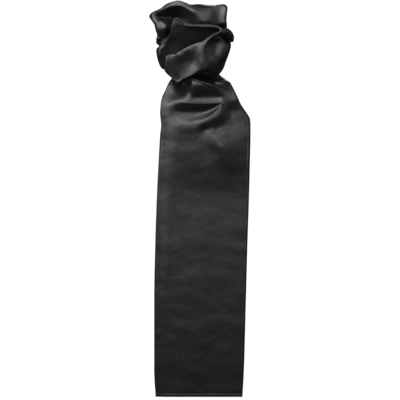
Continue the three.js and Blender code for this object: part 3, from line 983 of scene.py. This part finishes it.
# %% Hem band
# where the band starts below the origin, its gap behind the sheet, its thickness and its inset
HEM_TOP = 158.0
HEM_CLEAR = 0.15
HEM_WALL = 0.7
HEM_INSET = 0.3
HEM_ACROSS = 6
HEM_ALONG = 420
# the band goes round three sides, and the flat map gives each one this length in metres
HEM_SIDES = 3
HEM_MAP = 0.45


def inside_edge(place, inset):
    """x, depth and z on the hanging end, at an inset from its edge. place runs from 0 to 3 round it."""
    bottom = PANEL[-1][0] - inset
    part = place - np.floor(place)
    down = np.where(place < 1, HEM_TOP + (bottom - HEM_TOP) * part, bottom)
    down = np.where(place >= 2, bottom + (HEM_TOP - bottom) * np.minimum(place - 2, 1), down)
    left, right = panel_row(down)[:2]
    inner = inset / (right - left)
    across = np.where(place < 1, inner, np.where(place < 2, inner + (1 - 2 * inner) * part, 1 - inner))
    return panel_surface(down, across)


def hem_band(name, material):
    """The turned band, behind the hanging end."""
    piece, spots = new_grid(name, HEM_ACROSS, HEM_ALONG)
    place = (spots[:, 1] + 1) / 2 * HEM_SIDES
    inset = HEM_INSET + (spots[:, 0] + 1) / 2 * HEM_WIDTH
    x, depth, z = inside_edge(place, inset)
    map_cloth(piece, inset * MM, place * HEM_MAP)
    depth = depth - CLOTH - HEM_CLEAR - HEM_WALL / 2
    return finish_cloth(piece, x, depth, z, material, HEM_WALL, offset=0.0)


turned_hem = hem_band("turned_hem_cloth", hem_satin)

# %% Hem thread
STITCHES = 400
STITCH_REACH = 1.1
THREAD_RADIUS = 0.22
THREAD_WALL = 0.1
THREAD_CLEAR = 0.1
THREAD_ENDS = (0.01, 2.99)
THREAD_ACROSS = 6
STITCH_ROWS = 6


def stitched():
    """The thread's path and radius, to and fro over the band's inner edge."""
    place = np.linspace(*THREAD_ENDS, 2 * STITCHES)
    over = np.arange(2 * STITCHES) % 2
    x, depth, z = inside_edge(place, HEM_WIDTH + HEM_INSET + STITCH_REACH * (1 - 2 * over))
    lying = depth - CLOTH - THREAD_CLEAR - THREAD_RADIUS - over * (HEM_CLEAR + HEM_WALL)
    return np.stack([x, z, lying, np.full(len(x), THREAD_RADIUS)], axis=-1)


hem_thread = roll(
    "hem_thread",
    stitched(),
    hem_satin,
    across=THREAD_ACROSS,
    along=STITCH_ROWS * STITCHES,
    wall=THREAD_WALL,
    facing=-1,
)

# %% [markdown]
# The turn round the back.
# Nothing in the photograph shows it, but a knot that is held up has a band of cloth lying against what
# it hangs on. It could be left open, but then the knot would be a hollow shell from behind. It is the
# same kind of layer, facing backward, with soft folds across it. At the top and the right its edge runs
# forward, to meet the layers in front.

# %% Back wrap
BACK_WRAP = [
    # x, z, kind of edge
    (50, 64, "forward"), (14, 67, "forward"), (-18, 65, "forward"), (-50, 70, "forward"),
    (-75, 59, "forward"), (-94, 47, "back"), (-87, 26, "back"), (-83, 2, "back"),
    (-82, -26, "back"), (-76, -50, "back"), (-60, -60, "back"), (-38, -64, "back"),
    (-10, -62, "back"), (16, -60, "back"), (38, -60, "back"), (48, -44, "back"),
    (56, -18, "forward"), (56, 4, "forward"), (50, 26, "forward"), (50, 48, "forward"),
]
BACK_WRAP_LINES = [
    [(-60, 40, -42), (-30, 40, -43), (8, 40, -43), (32, 40, -42)],
    [(-58, 4, -40), (-30, 4, -41), (8, 4, -41), (36, 4, -40)],
    [(-52, -32, -42), (-30, -34, -43), (8, -34, -43), (32, -32, -42)],
]
BACK_WRAP_FOLDS = [
    # path, height, left and right width, sharpness, fade at the two ends
    fold([(-84, 34), (-50, 24), (-6, 30), (44, 50)], 5, 12, 18, 0.4, (0.1, 0.3)),
    fold([(-78, 8), (-30, -4), (20, 2), (52, 20)], 5, 10, 16, 0.4, (0.3, 0.1)),
    fold([(-76, -30), (-30, -24), (20, -34), (46, -40)], 4, 9, 14, 0.3, (0.2, 0.2)),
    fold([(-40, -44), (0, -48), (30, -52)], 3, 6, 9, 0.3, (0.3, 0.3)),
]
BACK_RIM_DEPTH = -24
BACK_CLEAR = 2.2
BACK_WRAP_CUT = (0.16, 0.14)
back_wrap = layer(
    "back_wrap_cloth",
    (-8, 0),
    [(x, z, BACK_RIM_DEPTH, kind) for x, z, kind in BACK_WRAP],
    BACK_WRAP_LINES,
    BACK_WRAP_FOLDS,
    face_satin,
    BACK_WRAP_CUT,
    clear=BACK_CLEAR,
    facing=-1,
)

# %% [markdown]
# Light and floor.
# The photograph is lit softly, mostly from the upper left, and the light fades down the cloth. One large
# lamp would light it all alike, so there are two lamps at the left and the upper left, weaker ones in
# front and at the right, and one behind that only the views from the back need.
# The white behind the scarf is seen by the camera only, so that it doesn't wash out the black satin.

# %% Lights
LIGHTS = [
    # name, place, what it looks at, size, watts
    ("front", (0.0, -1.8, 0.1), (0.0, -0.04, -0.1), 0.6, 5.5),
    ("left", (-0.9, -0.8, 0.2), (0.0, -0.04, -0.12), 0.6, 10.0),
    ("top_left", (-0.34, -0.85, 0.62), (0.0, -0.04, -0.05), 0.5, 9.0),
    ("top_right", (0.4, -0.8, 0.62), (0.0, -0.04, -0.1), 0.5, 3.0),
    ("right", (1.2, -0.4, 0.3), (0.0, -0.04, -0.1), 1.2, 2.0),
    ("behind", (0.0, 1.6, 0.8), (0.0, 0.0, -0.2), 0.9, 12.0),
]


def soft_light(name, place, target, size, watts):
    """A square soft light that looks at a point."""
    data = bpy.data.lights.new(name, "AREA")
    data.shape = "SQUARE"
    data.size = size
    data.energy = watts
    light = bpy.data.objects.new(name, data)
    light.location = place
    light.rotation_euler = (Vector(target) - Vector(place)).to_track_quat("-Z", "Y").to_euler()
    bpy.context.scene.collection.objects.link(light)


for light_row in LIGHTS:
    soft_light(*light_row)
print(len(LIGHTS), "soft lights")

# %% World and plain finishes
WORLD_GLOW = 0.04
world = bpy.data.worlds.new("studio")
world.use_nodes = True
world.node_tree.nodes["Background"].inputs["Color"].default_value = (1.0, 1.0, 1.0, 1.0)
world.node_tree.nodes["Background"].inputs["Strength"].default_value = WORLD_GLOW
bpy.context.scene.world = world
bpy.context.scene.view_settings.view_transform = "Standard"


def plain(name, colour, glow):
    """A matt finish, or with glow a plain light one."""
    material = bpy.data.materials.new(name)
    material.use_nodes = True
    shader = material.node_tree.nodes["Principled BSDF"]
    shader.inputs["Base Color"].default_value = (*colour, 1.0)
    shader.inputs["Roughness"].default_value = 0.9
    shader.inputs["Emission Color"].default_value = (*colour, 1.0)
    shader.inputs["Emission Strength"].default_value = glow
    return material


# %% Backdrop and floor
BACKDROP_RADIUS = 7.0
FLOOR_RADIUS = 0.7
FLOOR_PLACE = (0.0, -0.045, -0.79)

bpy.ops.object.select_all(action="DESELECT")
bpy.ops.mesh.primitive_uv_sphere_add(
    segments=48, ring_count=24, radius=BACKDROP_RADIUS, location=(0.0, 0.0, 0.0)
)
backdrop = bpy.context.object
backdrop.name = "backdrop"
backdrop.data.materials.append(plain("studio_white", (1.0, 1.0, 1.0), 1.0))
for sees in ("visible_diffuse", "visible_glossy", "visible_shadow", "visible_transmission"):
    setattr(backdrop, sees, False)
bpy.ops.mesh.primitive_circle_add(
    vertices=96, radius=FLOOR_RADIUS, fill_type="NGON", location=FLOOR_PLACE
)
floor = bpy.context.object
floor.name = "floor"
floor.data.materials.append(plain("pale_floor", (0.8, 0.8, 0.8), 0.0))
floor.visible_glossy = False
floor.visible_diffuse = False
print("staged:", backdrop.name, "and", floor.name)

# %% [markdown]
# What each piece stands for.
# Every piece rides on the scarf's one body and takes the place of its plain CAD solid. Each sheet is
# listed with the size that the strip was cut to there, before it was tied, though nothing here uses that
# size.

# %% Pieces on the body
pieces = {
    "side_roll": (side_roll, SIDE_ROLL_CUT, "folded"),
    "front_wrap": (front_wrap, FRONT_WRAP_CUT, "folded"),
    "middle_fold": (middle_fold, MIDDLE_FOLD_CUT, "folded"),
    "crown_loop": (crown_loop, CROWN_LOOP_CUT, "folded"),
    "hanging_panel": (hanging_panel, HANGING_CUT, "hung"),
    "back_wrap": (back_wrap, BACK_WRAP_CUT, "folded"),
}
for node, (piece, cut, held) in pieces.items():
    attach(piece, "root")
    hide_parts(node)
small_pieces = [(turned_edge, "satin"), (eye, "satin"), (taut_edge, "satin")]
small_pieces += [(turned_hem, "hem"), (hem_thread, "hem")]
for piece, finish in small_pieces:
    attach(piece, "root")
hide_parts("turned_hem")
print(len(pieces), "sheets and", len(small_pieces), "small pieces on them are declared")
